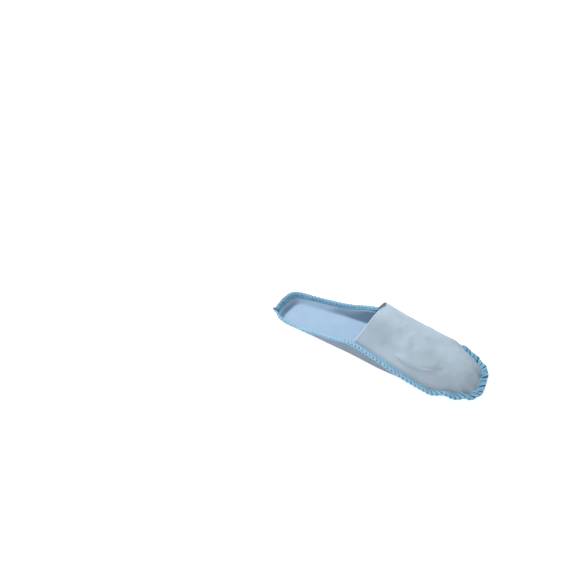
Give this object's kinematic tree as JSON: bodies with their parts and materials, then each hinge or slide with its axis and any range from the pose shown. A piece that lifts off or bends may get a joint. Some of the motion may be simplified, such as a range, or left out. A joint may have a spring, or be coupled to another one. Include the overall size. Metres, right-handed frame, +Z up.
{
  "type": "disposable slipper",
  "caption": "Disposable nonwoven slipper with a closed toe, an open heel, a turned-up flat sole and an overlocked edge all round.",
  "frame": {"origin": "centre of the slipper's bounding box in plan, on the floor the sole stands on", "axes": "+X from the open heel to the closed toe, +Z up; the wearer's inner side of the foot is at -Y"},
  "size_m": [0.2805, 0.1024, 0.0672],
  "materials": {
    "sole_nonwoven": "matt spunbond nonwoven, pale blue-grey",
    "vamp_nonwoven": "matt spunbond nonwoven, pale blue-grey, slightly see-through",
    "overlock_thread": "spun overlock thread, sky blue"
  },
  "bodies": {
    "root": {"sole": "sole_nonwoven", "vamp": "vamp_nonwoven", "overlock_edging": "overlock_thread"}
  },
  "joints": []
}
